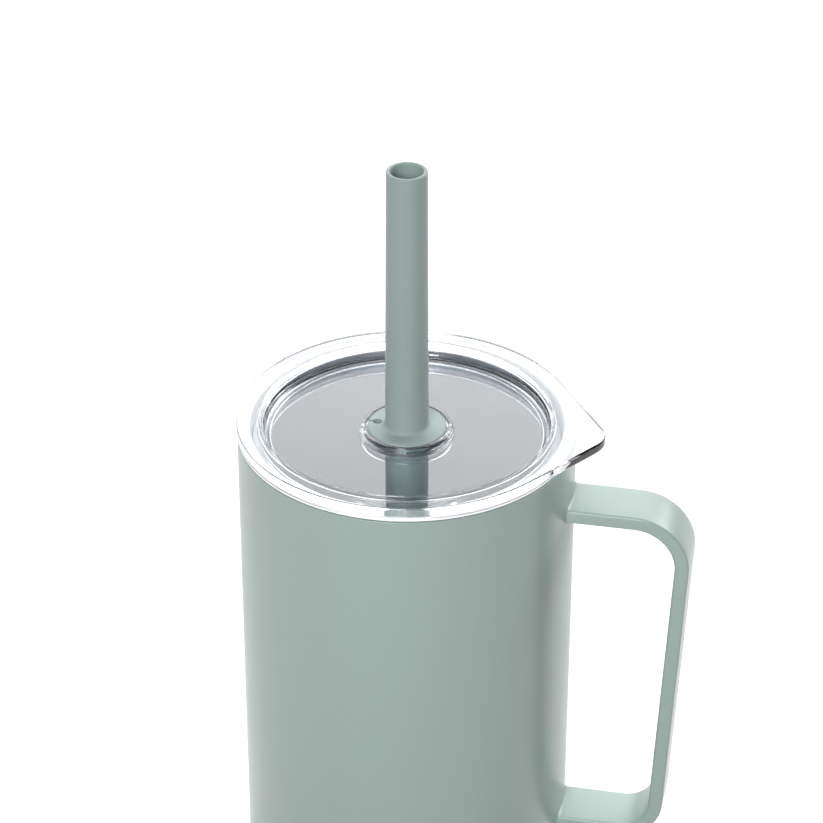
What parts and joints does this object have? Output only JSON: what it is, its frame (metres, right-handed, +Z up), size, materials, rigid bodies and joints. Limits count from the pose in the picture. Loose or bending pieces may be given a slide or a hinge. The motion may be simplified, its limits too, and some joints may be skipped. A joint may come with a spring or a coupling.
{
  "type": "insulated tumbler with lid",
  "caption": "Straight-sided double-wall steel tumbler with a flat-bar side handle, a clear press-on lid with a pull tab, and a soft drinking straw standing in the lid's collar.",
  "frame": {"origin": "centre of the foot pad's underside, on the cup's axis", "axes": "+Z up along the cup's axis, +X towards the handle and the lid's pull tab, +Y across the handle"},
  "size_m": [0.1234, 0.0904, 0.2226],
  "materials": {
    "powder_coat": "satin sage-green powder coat on steel",
    "steel": "fine brushed stainless steel",
    "foil": "thin copper-coloured radiation foil",
    "seal_metal": "dull solder bead",
    "getter": "pressed metal-powder pill",
    "foot_rubber": "matte silicone rubber",
    "clear_plastic": "polished clear copolyester",
    "clear_silicone": "translucent silicone",
    "straw_silicone": "matte sage silicone"
  },
  "bodies": {
    "cup": {"outer_shell": "powder_coat", "inner_liner": "steel", "radiation_foil": "foil", "base_plate": "steel", "vacuum_seal": "seal_metal", "getter_clip": "steel", "getter_pill": "getter", "foot_pad": "foot_rubber", "handle": "powder_coat", "handle_weld_upper": "powder_coat", "handle_weld_lower": "powder_coat"},
    "gasket": {"lid_gasket": "clear_silicone"},
    "lid": {"lid": "clear_plastic"},
    "straw": {"straw": "straw_silicone"}
  },
  "joints": [
    {"name": "lid_lift", "type": "slide", "parent": "cup", "child": "gasket", "axis": [0, 0, 1], "range_m": [0, 0.15]},
    {"name": "lid_turn", "type": "hinge", "parent": "gasket", "child": "lid", "pos_m": [0, 0, 0.1471], "axis": [0, 0, 1], "continuous": true},
    {"name": "straw_pull", "type": "slide", "parent": "lid", "child": "straw", "axis": [0, 0, 1], "range_m": [0, 0.145]}
  ]
}
